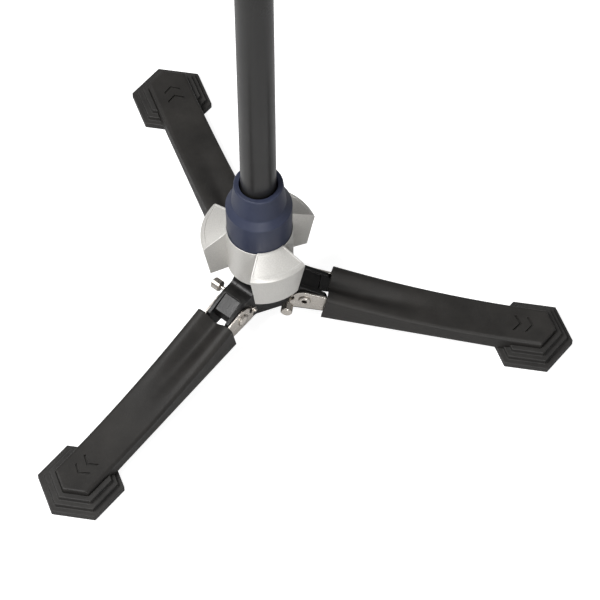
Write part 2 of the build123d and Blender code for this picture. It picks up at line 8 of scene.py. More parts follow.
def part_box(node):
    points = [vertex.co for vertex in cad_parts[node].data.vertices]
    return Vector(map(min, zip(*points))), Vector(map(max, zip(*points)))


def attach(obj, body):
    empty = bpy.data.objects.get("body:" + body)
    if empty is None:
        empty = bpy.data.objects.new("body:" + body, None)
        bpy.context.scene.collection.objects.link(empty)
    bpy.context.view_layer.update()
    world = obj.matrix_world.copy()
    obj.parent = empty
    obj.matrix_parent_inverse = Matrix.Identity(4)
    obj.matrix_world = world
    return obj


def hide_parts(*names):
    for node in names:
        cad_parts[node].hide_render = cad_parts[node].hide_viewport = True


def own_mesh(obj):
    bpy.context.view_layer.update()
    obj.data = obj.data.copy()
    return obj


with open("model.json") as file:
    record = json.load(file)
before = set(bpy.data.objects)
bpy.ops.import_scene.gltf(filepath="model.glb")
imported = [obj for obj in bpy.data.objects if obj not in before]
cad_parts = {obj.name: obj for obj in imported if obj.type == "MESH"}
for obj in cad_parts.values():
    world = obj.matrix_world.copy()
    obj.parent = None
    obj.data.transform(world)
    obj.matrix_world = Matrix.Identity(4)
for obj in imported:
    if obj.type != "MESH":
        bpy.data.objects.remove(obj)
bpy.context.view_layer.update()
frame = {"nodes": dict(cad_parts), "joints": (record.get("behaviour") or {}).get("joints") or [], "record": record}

# Folding trumpet stand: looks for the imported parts. Metres, +Z up, the same frame as the parts.
# Sizes of a leg are in millimetres in the leg's own frame: x outwards, y to the left, z up.
MM = 0.001
SIDES = ("back", "left", "right")
NODE_SLOT = {part["node"]: part["material_slot"] for part in frame["record"]["subparts"]}
BODIES = frame["record"]["behaviour"]["bodies"]
NODE_BODY = {node: body for body, nodes in BODIES.items() for node in nodes}
JOINTS = {joint["name"]: joint for joint in frame["joints"]}

# leg
FOOT_X = 126.75
LEG_TIP_R = 11.3
LEG_HALF = 10.25
LEG_HALF_END = 9.8
GROOVE_DEPTH = 4.6
GROOVE_END_X = 92.0
CROWN = 0.9
SILL_SLOPE = -0.0763
SILL_AT_AXIS = 12.265
LEG_SEAT_Z = 3.4
LEG_WALL = 1.8
MOUTH_X = 30.6
MOUTH_Z = 14.0
MOUTH_LEAN = 10.7
SCREW_XS = (40.0, 48.0)
SCREW_SEAT_Z = 9.6
POST_TOPS = (16.2, 14.9)
CHEVRON_TIPS = (122.3, 128.0)
CHEVRON_FLOOR_Z = 10.6
SPRING_LENGTH = 4.9

# collar and tube
TUBE_R = 8.0
TUBE_INNER_R = TUBE_R - 1.2
COLLAR_R = 15.05
COLLAR_CORE_R = 12.5
COLLAR_SEAT_Z = 60.0

# bell peg
PEG_FOOT_Z = 252.0
PEG_TOP_Z = 346.0
PEG_FOOT_R = 20.5
PEG_TAPER = 10.3
PEG_SWELL = 1.6
SLEEVE_THICKNESS = 1.1


# ---- helpers for node trees ----
def put(tree, kind, inputs=None, **settings):
    """Adds a node; inputs maps a socket's name or number to another socket or to a value."""
    made = tree.nodes.new(kind)
    for name, value in settings.items():
        setattr(made, name, value)
    for key, value in (inputs or {}).items():
        if isinstance(value, bpy.types.NodeSocket):
            tree.links.new(value, made.inputs[key])
        else:
            made.inputs[key].default_value = value
    return made


def sums(tree, operation, *values, clamp=False):
    """One Math node; gives its output socket."""
    inputs = dict(enumerate(values))
    return put(tree, "ShaderNodeMath", inputs, operation=operation, use_clamp=clamp).outputs[0]


def remap(tree, value, low, high, to_low=0.0, to_high=1.0, kind="LINEAR"):
    made = put(tree, "ShaderNodeMapRange", {0: value, 1: low, 2: high, 3: to_low, 4: to_high})
    made.interpolation_type = kind
    return made.outputs[0]


def noise(tree, place, scale, detail=2.0, roughness=0.5):
    """Soft noise between 0 and 1 that reads the given place."""
    inputs = {"Vector": place, "Scale": scale, "Detail": detail, "Roughness": roughness}
    return put(tree, "ShaderNodeTexNoise", inputs).outputs[0]


def new_group(name, kind, inputs, outputs):
    """A node group with named sockets. Gives the tree, its input sockets and its output sockets."""
    tree = bpy.data.node_groups.new(name, kind)
    for title, socket, value in inputs:
        made = tree.interface.new_socket(title, in_out="INPUT", socket_type=socket)
        if value is not None:
            made.default_value = value
    for title, socket in outputs:
        tree.interface.new_socket(title, in_out="OUTPUT", socket_type=socket)
    start = tree.nodes.new("NodeGroupInput")
    end = tree.nodes.new("NodeGroupOutput")
    return tree, start.outputs, end.inputs


FLOAT = "NodeSocketFloat"


# ---- effects that several finishes share ----
def moulded_grain_group():
    """The fine pebble that a mould leaves on plastic, and slow unevenness in tone."""
    tree, given, out = new_group(
        "moulded grain",
        "ShaderNodeTree",
        [("Pebbles per metre", FLOAT, 2500.0), ("Unevenness per metre", FLOAT, 40.0)],
        [("Height", FLOAT), ("Tone", FLOAT)],
    )
    place = put(tree, "ShaderNodeTexCoord").outputs["Object"]
    fine = noise(tree, place, given[0], 3.0, 0.6)
    cells = put(tree, "ShaderNodeTexVoronoi", {"Vector": place, "Scale": given[0]}, feature="SMOOTH_F1")
    height = sums(tree, "MULTIPLY_ADD", cells.outputs["Distance"], 0.6, fine)
    slow = noise(tree, place, given[1], 4.0, 0.55)
    tree.links.new(height, out[0])
    tree.links.new(remap(tree, slow, 0.3, 0.7), out[1])
    return tree


def edge_wear_and_highlight_group():
    """A mask along edges, broken up by noise, where handling polishes or rubs a finish away; the finishes also use
    it to paint a lighter edge as a highlight.
    """
    tree, given, out = new_group(
        "edge wear and painted highlight",
        "ShaderNodeTree",
        [("Reach", FLOAT, 0.0006), ("Amount", FLOAT, 0.6), ("Breakup per metre", FLOAT, 350.0)],
        [("Mask", FLOAT)],
    )
    place = put(tree, "ShaderNodeTexCoord").outputs["Object"]
    straight = put(tree, "ShaderNodeNewGeometry").outputs["Normal"]
    rounded = put(tree, "ShaderNodeBevel", {"Radius": given[0]}, samples=4).outputs["Normal"]
    facing = put(tree, "ShaderNodeVectorMath", {0: straight, 1: rounded}, operation="DOT_PRODUCT")
    # Edges that this mask picks out are partly real wear and partly a painted highlight.
    edge = remap(tree, facing.outputs["Value"], 0.995, 0.86)
    patchy = remap(tree, noise(tree, place, given[2], 5.0, 0.65), 0.38, 0.62)
    mask = sums(tree, "MULTIPLY", edge, patchy)
    tree.links.new(sums(tree, "MULTIPLY", mask, given[1], clamp=True), out[0])
    return tree


def dust_group():
    """A mask for the dust and finger smudges that settle on upward faces."""
    tree, given, out = new_group(
        "settled dust",
        "ShaderNodeTree",
        [("Amount", FLOAT, 0.2), ("Patches per metre", FLOAT, 70.0)],
        [("Mask", FLOAT)],
    )
    place = put(tree, "ShaderNodeTexCoord").outputs["Object"]
    normal = put(tree, "ShaderNodeNewGeometry").outputs["Normal"]
    upward = put(tree, "ShaderNodeSeparateXYZ", {0: normal}).outputs[2]
    patches = remap(tree, noise(tree, place, given[1], 6.0, 0.7), 0.4, 0.75)
    specks = remap(tree, noise(tree, place, 1800.0), 0.35, 0.7, 0.5, 1.0)
    shape = sums(tree, "MULTIPLY", remap(tree, upward, 0.1, 0.9), patches)
    speckled = sums(tree, "MULTIPLY", shape, specks)
    tree.links.new(sums(tree, "MULTIPLY", speckled, given[0], clamp=True), out[0])
    return tree


def drawn_lines_group():
    """Fine parallel lines from drawing, brushing or turning, along one direction."""
    tree, given, out = new_group(
        "drawn lines",
        "ShaderNodeTree",
        [
            ("Across per metre", FLOAT, 4000.0),
            ("Along per metre", FLOAT, 60.0),
            ("Heading", FLOAT, 0.0),
        ],
        [("Height", FLOAT), ("Tone", FLOAT)],
    )
    place = put(tree, "ShaderNodeTexCoord").outputs["Object"]
    heading = put(tree, "ShaderNodeCombineXYZ", {2: given[2]}).outputs[0]
    turned = put(tree, "ShaderNodeMapping", {"Vector": place, "Rotation": heading}).outputs[0]
    stretch = put(tree, "ShaderNodeCombineXYZ", {0: given[1], 1: given[0], 2: given[0]}).outputs[0]
    stretched = put(tree, "ShaderNodeVectorMath", {0: turned, 1: stretch}, operation="MULTIPLY")
    lines = noise(tree, stretched.outputs[0], 1.0, 4.0, 0.6)
    tree.links.new(lines, out[0])
    tree.links.new(remap(tree, lines, 0.3, 0.7), out[1])
    return tree


def metal_flake_group():
    """Tiny flakes of aluminium in a silver paint: random brightness from cell to cell."""
    tree, given, out = new_group(
        "paint flake",
        "ShaderNodeTree",
        [("Flakes per metre", FLOAT, 5000.0)],
        [("Tone", FLOAT), ("Height", FLOAT)],
    )
    place = put(tree, "ShaderNodeTexCoord").outputs["Object"]
    cells = put(tree, "ShaderNodeTexVoronoi", {"Vector": place, "Scale": given[0]}, feature="F1")
    tone = put(tree, "ShaderNodeSeparateColor", {0: cells.outputs["Color"]}).outputs[0]
    tree.links.new(tone, out[0])
    tree.links.new(noise(tree, place, 700.0), out[1])
    return tree


GRAIN = moulded_grain_group()
WEAR_AND_EDGE_HIGHLIGHT = edge_wear_and_highlight_group()
DUST = dust_group()
LINES = drawn_lines_group()
FLAKE = metal_flake_group()


# ---- finishes ----
def effect(tree, group, values):
    """Places one of the shared effects in a material with its own values."""
    made = put(tree, "ShaderNodeGroup", None, node_tree=group)
    for name, value in values.items():
        made.inputs[name].default_value = value
    return made.outputs


def blend_colour(tree, mask, first, second):
    """A colour that goes from first to second as mask goes from 0 to 1."""
    made = put(tree, "ShaderNodeMix", None, data_type="RGBA")
    for key, value in ((0, mask), (6, first), (7, second)):
        if isinstance(value, bpy.types.NodeSocket):
            tree.links.new(value, made.inputs[key])
        else:
            made.inputs[key].default_value = value
    return made.outputs[2]


def grey(level, warmth=0.0):
    """A near-neutral colour; warmth moves it from blue to yellow."""
    return (level * (1 + warmth), level, level * (1 - warmth), 1.0)


def new_material(name, **constants):
    """An empty material and its shader; constants are set on the shader's own sockets."""
    made = bpy.data.materials.new(name)
    made.use_nodes = True
    tree = made.node_tree
    tree.nodes.clear()
    shader = put(tree, "ShaderNodeBsdfPrincipled")
    surface = put(tree, "ShaderNodeOutputMaterial")
    tree.links.new(shader.outputs[0], surface.inputs[0])
    for title, value in constants.items():
        shader.inputs[title.replace("_", " ")].default_value = value
    return made, tree, shader


def bump(tree, shader, height, depth, strength=1.0):
    made = put(tree, "ShaderNodeBump", {"Height": height, "Strength": strength, "Distance": depth})
    tree.links.new(made.outputs[0], shader.inputs["Normal"])


def moulded_plastic(name, dark, light, rubbed_and_highlit, roughness, pebbles, depth, dust, wear, specular=0.5):
    """Satin plastic or rubber: slow change of tone, mould grain, edges lightened by wear and a painted highlight,
    and a little dust.
    """
    made, tree, shader = new_material(name, Specular_IOR_Level=specular)
    grain = effect(tree, GRAIN, {"Pebbles per metre": pebbles, "Unevenness per metre": 45.0})
    worn_and_highlit = effect(tree, WEAR_AND_EDGE_HIGHLIGHT, {"Reach": 0.0007, "Amount": wear, "Breakup per metre": 300.0})
    dusty = effect(tree, DUST, {"Amount": dust, "Patches per metre": 60.0})
    colour = blend_colour(tree, grain["Tone"], dark, light)
    # Edges take the lighter edge colour: partly wear, partly a painted highlight.
    colour = blend_colour(tree, worn_and_highlit["Mask"], colour, rubbed_and_highlit)
    colour = blend_colour(tree, dusty["Mask"], colour, (0.32, 0.31, 0.29, 1.0))
    tree.links.new(colour, shader.inputs["Base Color"])
    rough = remap(tree, grain["Tone"], 0.0, 1.0, roughness - 0.04, roughness + 0.05)
    rough = sums(tree, "MULTIPLY_ADD", worn_and_highlit["Mask"], -0.12, rough)
    rough = sums(tree, "MULTIPLY_ADD", dusty["Mask"], 0.5, rough, clamp=True)
    tree.links.new(rough, shader.inputs["Roughness"])
    bump(tree, shader, grain["Height"], depth)
    return made


def silver_paint():
    """Light silver paint over moulded plastic: flake, orange peel and a few edges lightened by wear and a painted
    highlight.
    """
    made, tree, shader = new_material("light silver paint", Coat_Roughness=0.22, Specular_IOR_Level=0.5)
    flake = effect(tree, FLAKE, {"Flakes per metre": 6000.0})
    grain = effect(tree, GRAIN, {"Pebbles per metre": 1500.0, "Unevenness per metre": 60.0})
    worn_and_highlit = effect(tree, WEAR_AND_EDGE_HIGHLIGHT, {"Reach": 0.0007, "Amount": 0.75, "Breakup per metre": 160.0})
    dusty = effect(tree, DUST, {"Amount": 0.10, "Patches per metre": 90.0})
    colour = blend_colour(tree, flake["Tone"], (0.55, 0.535, 0.505, 1.0), (0.74, 0.725, 0.69, 1.0))
    uneven = sums(tree, "MULTIPLY", grain["Tone"], 0.25)
    colour = blend_colour(tree, uneven, colour, (0.56, 0.55, 0.53, 1.0))
    # Near-white edges: partly wear of the paint, partly a painted highlight.
    colour = blend_colour(tree, worn_and_highlit["Mask"], colour, (0.90, 0.895, 0.88, 1.0))
    colour = blend_colour(tree, dusty["Mask"], colour, (0.42, 0.41, 0.38, 1.0))
    tree.links.new(colour, shader.inputs["Base Color"])
    tree.links.new(remap(tree, flake["Tone"], 0.0, 1.0, 0.25, 0.45), shader.inputs["Metallic"])
    rough = remap(tree, grain["Tone"], 0.0, 1.0, 0.40, 0.50)
    tree.links.new(rough, shader.inputs["Roughness"])
    tree.links.new(remap(tree, dusty["Mask"], 0.0, 1.0, 0.35, 0.0), shader.inputs["Coat Weight"])
    bump(tree, shader, flake["Height"], 0.00004, 0.5)
    return made


def cast_black():
    """Black paint over a die casting: coarse skin, slightly glossy, edges lighter where chipped and where a
    highlight is painted.
    """
    made, tree, shader = new_material("black painted casting", Specular_IOR_Level=0.26)
    skin = effect(tree, GRAIN, {"Pebbles per metre": 1400.0, "Unevenness per metre": 80.0})
    worn_and_highlit = effect(tree, WEAR_AND_EDGE_HIGHLIGHT, {"Reach": 0.0006, "Amount": 0.55, "Breakup per metre": 420.0})
    dusty = effect(tree, DUST, {"Amount": 0.05, "Patches per metre": 120.0})
    colour = blend_colour(tree, skin["Tone"], grey(0.005), grey(0.010, 0.03))
    # Lighter grey edges: partly chipped paint, partly a painted highlight.
    colour = blend_colour(tree, worn_and_highlit["Mask"], colour, grey(0.07, 0.03))
    colour = blend_colour(tree, dusty["Mask"], colour, (0.30, 0.29, 0.27, 1.0))
    tree.links.new(colour, shader.inputs["Base Color"])
    tree.links.new(sums(tree, "MULTIPLY", worn_and_highlit["Mask"], 0.5), shader.inputs["Metallic"])
    rough = remap(tree, skin["Tone"], 0.0, 1.0, 0.26, 0.36)
    rough = sums(tree, "MULTIPLY_ADD", dusty["Mask"], 0.5, rough, clamp=True)
    tree.links.new(rough, shader.inputs["Roughness"])
    bump(tree, shader, skin["Height"], 0.00010, 0.7)
    return made


def tube_black():
    """Black anodised tube: lines drawn along its length, satin, with faint rub marks and a painted highlight on
    its edges.
    """
    name = "black anodised tube"
    made, tree, shader = new_material(name, Specular_IOR_Level=0.45, Coat_Roughness=0.12)
    lengthwise = put(tree, "ShaderNodeTexCoord").outputs["Object"]
    squeeze = put(tree, "ShaderNodeMapping", {"Vector": lengthwise, "Scale": (3500.0, 3500.0, 35.0)})
    drawn = noise(tree, squeeze.outputs[0], 1.0, 3.0)
    grain = effect(tree, GRAIN, {"Pebbles per metre": 5000.0, "Unevenness per metre": 30.0})
    worn_and_highlit = effect(tree, WEAR_AND_EDGE_HIGHLIGHT, {"Reach": 0.0005, "Amount": 0.5, "Breakup per metre": 300.0})
    colour = blend_colour(tree, drawn, grey(0.011, 0.03), grey(0.017, 0.05))
    # Lighter edges: partly wear of the anodising, partly a painted highlight.
    colour = blend_colour(tree, worn_and_highlit["Mask"], colour, grey(0.30, 0.02))
    tree.links.new(colour, shader.inputs["Base Color"])
    tree.links.new(sums(tree, "MULTIPLY", worn_and_highlit["Mask"], 0.8), shader.inputs["Metallic"])
    tree.links.new(remap(tree, grain["Tone"], 0.0, 1.0, 0.26, 0.36), shader.inputs["Roughness"])
    tree.links.new(remap(tree, grain["Tone"], 0.0, 1.0, 0.12, 0.04), shader.inputs["Coat Weight"])
    bump(tree, shader, drawn, 0.00002, 0.6)
    return made


def plated_metal(name, base, roughness, heading, lines=3500.0, smudge=0.35):
    """Plated steel: fine lines in one direction, cloudy smudges, and edges lightened by wear and a painted
    highlight.
    """
    made, tree, shader = new_material(name, Metallic=1.0)
    spacing = {"Across per metre": lines, "Along per metre": 90.0, "Heading": heading}
    drawn = effect(tree, LINES, spacing)
    cloud = effect(tree, GRAIN, {"Pebbles per metre": 2600.0, "Unevenness per metre": 220.0})
    worn_and_highlit = effect(tree, WEAR_AND_EDGE_HIGHLIGHT, {"Reach": 0.0004, "Amount": 0.5, "Breakup per metre": 500.0})
    dull = tuple(level * 0.72 for level in base[:3]) + (1.0,)
    bright = tuple(min(1.0, level * 1.12) for level in base[:3]) + (1.0,)
    colour = blend_colour(tree, sums(tree, "MULTIPLY", cloud["Tone"], smudge), base, dull)
    # Brighter edges: partly wear of the plating, partly a painted highlight.
    colour = blend_colour(tree, worn_and_highlit["Mask"], colour, bright)
    tree.links.new(colour, shader.inputs["Base Color"])
    rough = remap(tree, drawn["Tone"], 0.0, 1.0, roughness - 0.05, roughness + 0.07)
    rough = sums(tree, "MULTIPLY_ADD", cloud["Tone"], 0.08, rough, clamp=True)
    tree.links.new(rough, shader.inputs["Roughness"])
    bump(tree, shader, drawn["Height"], 0.00003, 0.5)
    return made


def velour():
    """Short black pile: a soft sheen, lanes where the pile lies differently, and lint."""
    made, tree, shader = new_material(
        "black velour",
        Sheen_Weight=0.55,
        Sheen_Roughness=0.35,
        Specular_IOR_Level=0.2,
    )
    place = put(tree, "ShaderNodeTexCoord").outputs["Object"]
    pile = noise(tree, place, 4200.0)
    nap = put(tree, "ShaderNodeMapping", {"Vector": place, "Scale": (110.0, 110.0, 25.0)}).outputs[0]
    lanes = noise(tree, nap, 1.0, 4.0, 0.6)
    lint = put(tree, "ShaderNodeTexVoronoi", {"Vector": place, "Scale": 260.0}, feature="F1")
    colour = blend_colour(tree, remap(tree, lanes, 0.35, 0.65), grey(0.006), grey(0.017, 0.02))
    colour = blend_colour(tree, remap(tree, pile, 0.35, 0.7, 0.0, 0.5), colour, grey(0.028))
    specks = remap(tree, lint.outputs["Distance"], 0.06, 0.03, 0.0, 0.5)
    colour = blend_colour(tree, specks, colour, grey(0.25))
    tree.links.new(colour, shader.inputs["Base Color"])
    tree.links.new(remap(tree, lanes, 0.3, 0.7, 0.82, 0.95), shader.inputs["Roughness"])
    bump(tree, shader, pile, 0.00025, 0.8)
    return made


def heading_of(side):
    """The compass angle that a leg points to, from its hinge's place."""
    at = JOINTS[f"leg_fold_{side}"]["pos_m"]
    return math.atan2(at[1], at[0])


NICKEL = (0.71, 0.665, 0.61, 1.0)
FINISHES = {
    "black_casting": cast_black(),
    "silver_paint": silver_paint(),
    # The third colour given to each moulded plastic is its lighter edge colour: wear and a painted highlight.
    "navy_plastic": moulded_plastic(
        "navy moulded plastic",
        (0.020, 0.026, 0.054, 1.0), (0.030, 0.037, 0.070, 1.0), (0.10, 0.11, 0.16, 1.0),
        0.44, 3200.0, 0.00004, 0.05, 0.45, 0.4,
    ),
    "black_tube": tube_black(),
    "zinc_screw": plated_metal("zinc plated steel", (0.60, 0.61, 0.62, 1.0), 0.34, 0.0, 2500.0, 0.5),
    "leg_plastic": moulded_plastic(
        "black leg plastic", grey(0.014, 0.07), grey(0.021, 0.10), grey(0.060, 0.05),
        0.50, 2600.0, 0.00006, 0.04, 0.35, 0.36,
    ),
    "foot_rubber": moulded_plastic(
        "black foot rubber", grey(0.017, 0.04), grey(0.025, 0.07), grey(0.080, 0.04),
        0.56, 2000.0, 0.00009, 0.06, 0.45, 0.4,
    ),
    "peg_plastic": moulded_plastic(
        "black peg plastic", grey(0.012), grey(0.018), grey(0.05), 0.40, 2600.0, 0.00005, 0.10, 0.4,
    ),
    "peg_velour": velour(),
}
NICKEL_BY_SIDE = {
    side: plated_metal(f"nickel plate {side}", NICKEL, 0.24, -heading_of(side))
    for side in SIDES
}


def finish_for(node_name):
    """The material that a node's slot calls for; nickel has its lines along its own leg."""
    slot_name = NODE_SLOT[node_name]
    if slot_name == "nickel_steel":
        return NICKEL_BY_SIDE[node_name.rsplit("_", 1)[1]]
    return FINISHES[slot_name]


# ---- helpers for pieces ----
def bake_modifiers(piece):
    """Turns the evaluated shape into the piece's own plain mesh and removes the modifiers."""
    bpy.context.view_layer.update()
    state = bpy.context.evaluated_depsgraph_get()
    shaped = piece.evaluated_get(state)
    mesh = bpy.data.meshes.new_from_object(shaped, preserve_all_data_layers=True, depsgraph=state)
    piece.modifiers.clear()
    piece.data = mesh
    return piece


def new_piece(name, mesh):
    piece = bpy.data.objects.new(name, mesh)
    bpy.context.scene.collection.objects.link(piece)
    return piece


def mesh_from(points, faces, name):
    mesh = bpy.data.meshes.new(name)
    mesh.from_pydata([tuple(p) for p in points], [], faces)
    work = bmesh.new()
    work.from_mesh(mesh)
    bmesh.ops.remove_doubles(work, verts=work.verts, dist=1e-7)
    bmesh.ops.recalc_face_normals(work, faces=work.faces)
    work.to_mesh(mesh)
    work.free()
    return mesh


def smooth(mesh, angle=32.0):
    """Smooth shading that stays crisp where faces meet at more than angle degrees."""
    mesh.shade_smooth()
    mesh.set_sharp_from_angle(angle=math.radians(angle))


def settle(piece, *nodes):
    """A finished piece takes its nodes' place, the finish that their slot calls for, and their body."""
    piece.data.materials.clear()
    piece.data.materials.append(finish_for(nodes[0]))
    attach(piece, NODE_BODY[nodes[0]])
    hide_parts(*nodes)
    return piece


def rounded_copy(node_name, piece_name, width, segments=3, angle=35.0):
    """A part's own shape with its edges broken, as moulds, dies and tumbling leave them."""
    work = bmesh.new()
    work.from_mesh(frame["nodes"][node_name].data)
    bmesh.ops.remove_doubles(work, verts=work.verts, dist=3e-6)
    bmesh.ops.dissolve_degenerate(work, edges=work.edges, dist=1e-6)
    bmesh.ops.dissolve_limit(work, angle_limit=math.radians(0.6), verts=work.verts, edges=work.edges)
    mesh = bpy.data.meshes.new(piece_name)
    work.to_mesh(mesh)
    work.free()
    smooth(mesh, angle)
    piece = new_piece(piece_name, mesh)
    edges = piece.modifiers.new("broken edges", "BEVEL")
    edges.width = width
    edges.segments = segments
    edges.limit_method = "ANGLE"
    edges.angle_limit = math.radians(angle)
    edges.use_clamp_overlap = False
    edges.miter_outer = "MITER_ARC"
    edges.harden_normals = True
    weighted = piece.modifiers.new("flat faces stay flat", "WEIGHTED_NORMAL")
    weighted.keep_sharp = True
    bake_modifiers(piece)
    return settle(piece, node_name)


def rounded_profile(points, steps=4):
    """A profile with its corners rounded: points are (radius, height, corner radius), all in mm."""
    made = []
    count = len(points)
    for i, (r, z, corner) in enumerate(points):
        here = Vector((r, z))
        before = Vector(points[i - 1][:2]) - here
        after = Vector(points[(i + 1) % count][:2]) - here
        if corner == 0:
            made.append(here)
            continue
        half = before.angle(after) / 2
        reach = min(corner / math.tan(half), 0.45 * before.length, 0.45 * after.length)
        start = here + before.normalized() * reach
        end = here + after.normalized() * reach
        for k in range(steps + 1):
            t = k / steps
            made.append(start * (1 - t) ** 2 + here * (2 * t * (1 - t)) + end * t * t)
    return made


def turned_mesh(name, profile, segments=128):
    """A closed profile turned about the tube's axis."""
    points = []
    faces = []
    count = len(profile)
    for i in range(segments):
        turn = 2 * math.pi * i / segments
        for r, z in profile:
            points.append((r * MM * math.cos(turn), r * MM * math.sin(turn), z * MM))
    for i in range(segments):
        after = (i + 1) % segments
        for k in range(count):
            step = (k + 1) % count
            faces.append((i * count + k, after * count + k, after * count + step, i * count + step))
    mesh = mesh_from(points, faces, name)
    smooth(mesh, 40)
    return mesh


def leg_matrix(side):
    """Takes the leg's own frame, in mm, to the stand's frame, in metres."""
    return Matrix.Rotation(heading_of(side), 4, "Z") @ Matrix.Scale(MM, 4)


# ---- leg shell: a skin whose height follows a rule, grown by geometry nodes ----
LEG_ROWS = 90
END_ROWS = 7
HALF_COLUMNS = 30
ROOF_COLUMNS = 23


def leg_height_group():
    """Height of the leg's skin in mm at a distance out, a place across and a way down the side."""
    tree, given, out = new_group(
        "leg height",
        "GeometryNodeTree",
        [
            ("Out", FLOAT, 0.0),
            ("Across", FLOAT, 0.0),
            ("Down", FLOAT, 0.0),
            ("Groove depth", FLOAT, GROOVE_DEPTH),
            ("Inset", FLOAT, 0.0),
        ],
        [("Height", FLOAT)],
    )
    far, across, down, full_depth, inset = [given[i] for i in range(5)]
    curve_start, curve_length, level_after = 32.0, 76.0, 1.25
    start_height, first_slope, sag = 24.16, -19.74, 7.6
    past_start = sums(tree, "SUBTRACT", far, curve_start)
    t = sums(tree, "MINIMUM", sums(tree, "DIVIDE", past_start, curve_length), level_after)
    slope = sums(tree, "MULTIPLY_ADD", t, first_slope, start_height)
    edge = sums(tree, "MULTIPLY_ADD", sums(tree, "MULTIPLY", t, t), sag, slope)
    fade = remap(tree, far, 30.0, GROOVE_END_X, 1.0, 0.0, "SMOOTHSTEP")
    depth = sums(tree, "MULTIPLY", fade, full_depth)
    crown = sums(tree, "MULTIPLY", fade, CROWN)
    valley = sums(tree, "MULTIPLY", remap(tree, across, 0.0, 0.68, 1.0, 0.0, "SMOOTHSTEP"), depth)
    shoulder = sums(tree, "POWER", remap(tree, across, 0.68, 1.0), 2.0)
    rise = sums(tree, "MULTIPLY", sums(tree, "SUBTRACT", 1.0, shoulder), crown)
    bend = sums(tree, "POWER", remap(tree, across, 0.82, 1.0), 2.0)
    left = sums(tree, "SQRT", sums(tree, "SUBTRACT", 1.0, bend, clamp=True))
    corner = sums(tree, "MULTIPLY", sums(tree, "SUBTRACT", 1.0, left), 1.6)
    grooved = sums(tree, "SUBTRACT", rise, valley)
    shape = sums(tree, "SUBTRACT", grooved, sums(tree, "ADD", corner, inset))
    roof = sums(tree, "ADD", edge, shape)
    underside = sums(tree, "MULTIPLY_ADD", far, SILL_SLOPE, SILL_AT_AXIS)
    sill = sums(tree, "MAXIMUM", underside, LEG_SEAT_Z)
    span = sums(tree, "SUBTRACT", sill, roof)
    tree.links.new(sums(tree, "MULTIPLY_ADD", span, down, roof), out[0])
    return tree


